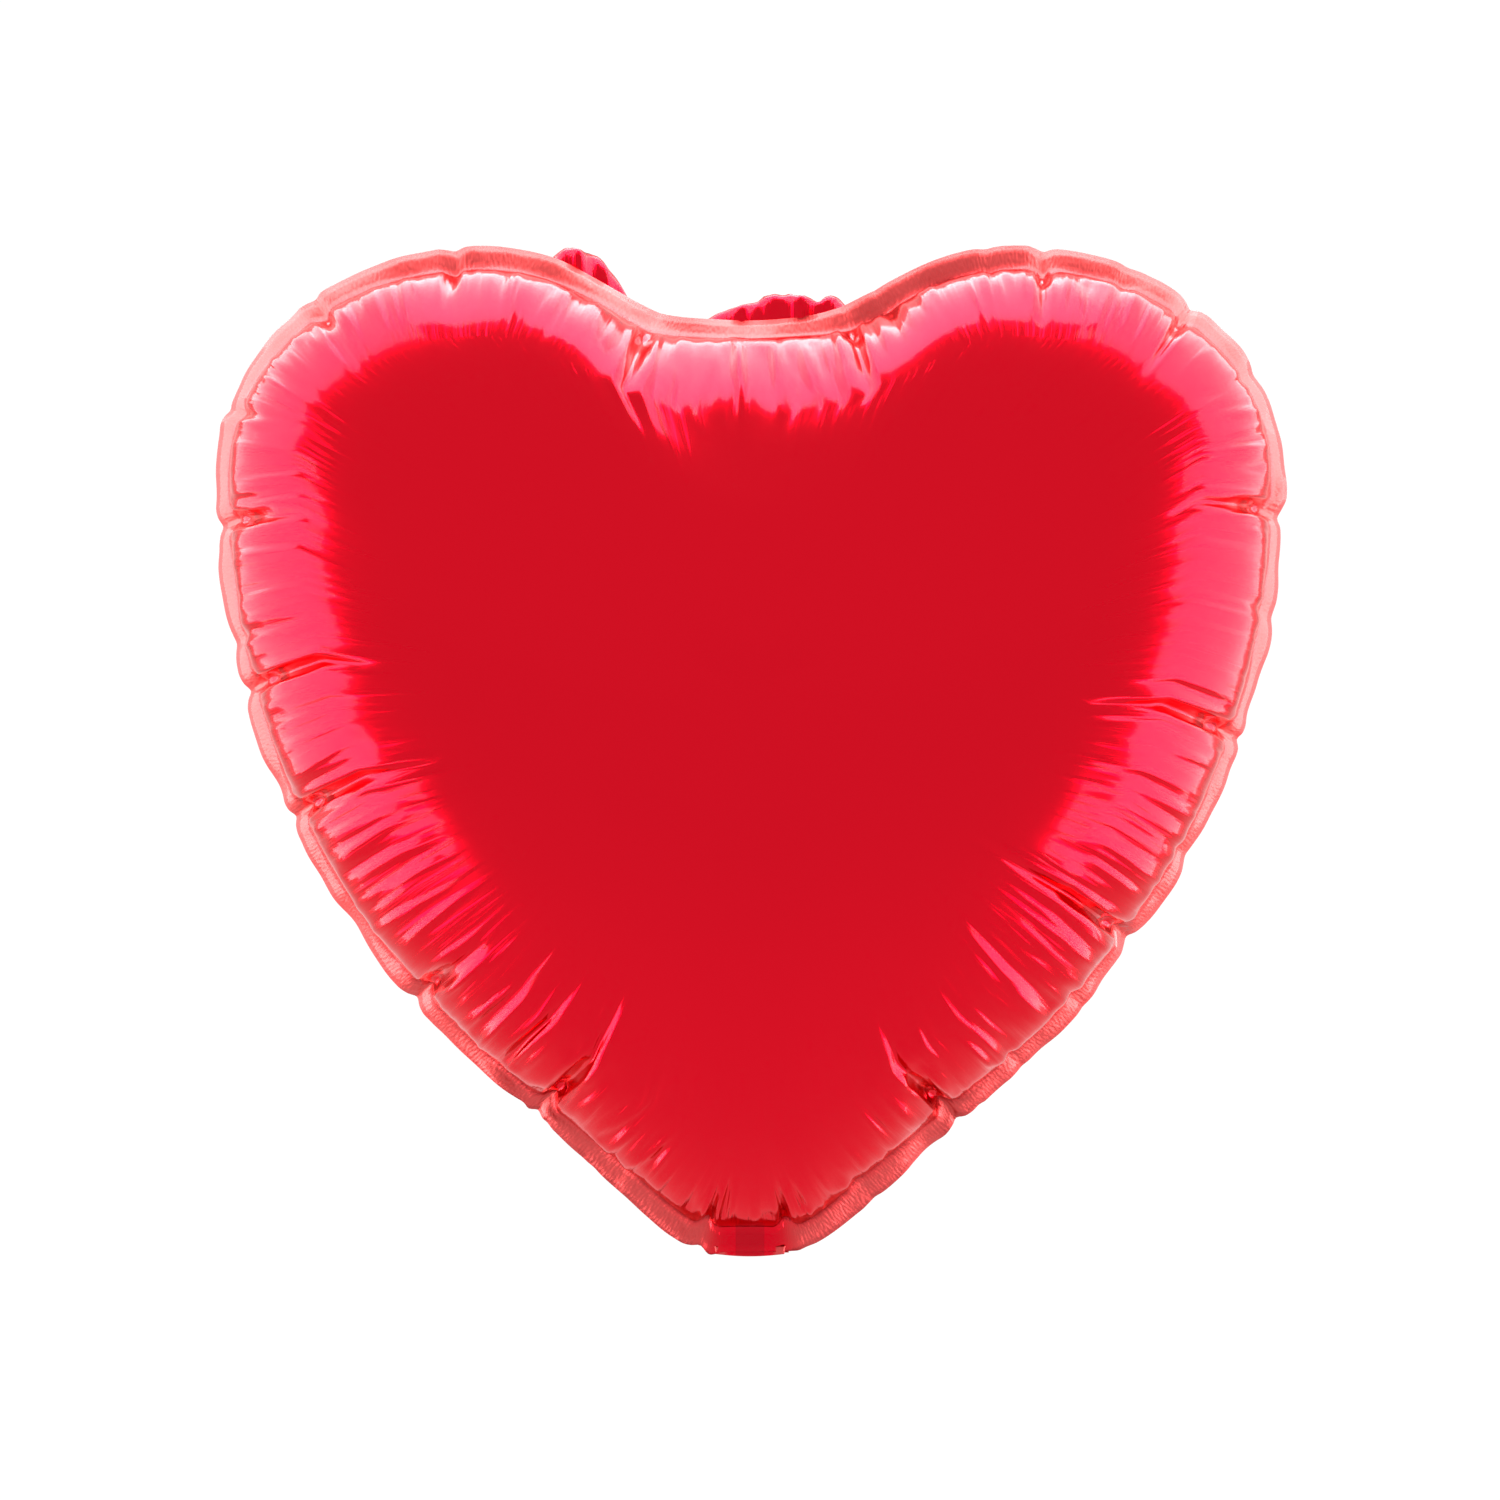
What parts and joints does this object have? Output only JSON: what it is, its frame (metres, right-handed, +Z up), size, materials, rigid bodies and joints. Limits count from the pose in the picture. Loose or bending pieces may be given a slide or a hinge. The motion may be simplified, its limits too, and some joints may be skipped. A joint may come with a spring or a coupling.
{
  "type": "heart-shaped foil balloon",
  "caption": "Inflated heart-shaped foil balloon with a sealed, puckered edge and a folded filling tail that holds a flat film valve.",
  "frame": {"origin": "middle of the crease at the heart's tip, where the filling tail folds and where the balloon is tied", "axes": "+X across the heart to the right as seen from the front, +Y from the front panel to the back panel, +Z up from the tip to the lobes"},
  "size_m": [0.385, 0.2, 0.3637],
  "materials": {
    "foil_front": "red metallised film, mirror-like gloss",
    "foil_back": "red metallised film, mirror-like gloss",
    "weld": "heat-sealed red film",
    "valve_film": "clear polyethylene film"
  },
  "bodies": {
    "envelope": {"front_panel": "foil_front", "back_panel": "foil_back", "edge_weld": "weld", "neck_front_film": "valve_film", "neck_back_film": "valve_film"},
    "valve_tongue": {"tongue_front_film": "valve_film", "tongue_back_film": "valve_film"},
    "tail": {"tail_front_ply": "foil_front", "tail_back_ply": "foil_back", "tail_side_welds": "weld", "mouth_front_film": "valve_film", "mouth_back_film": "valve_film"}
  },
  "joints": [
    {"name": "tail_fold", "type": "hinge", "parent": "envelope", "child": "tail", "pos_m": [0, 0, 0], "axis": [-1, 0, 0], "range_deg": [0, 248]},
    {"name": "tongue_swing", "type": "hinge", "parent": "envelope", "child": "valve_tongue", "pos_m": [0, 0, 0.01079], "axis": [1, 0, 0], "range_deg": [-40, 40]}
  ]
}
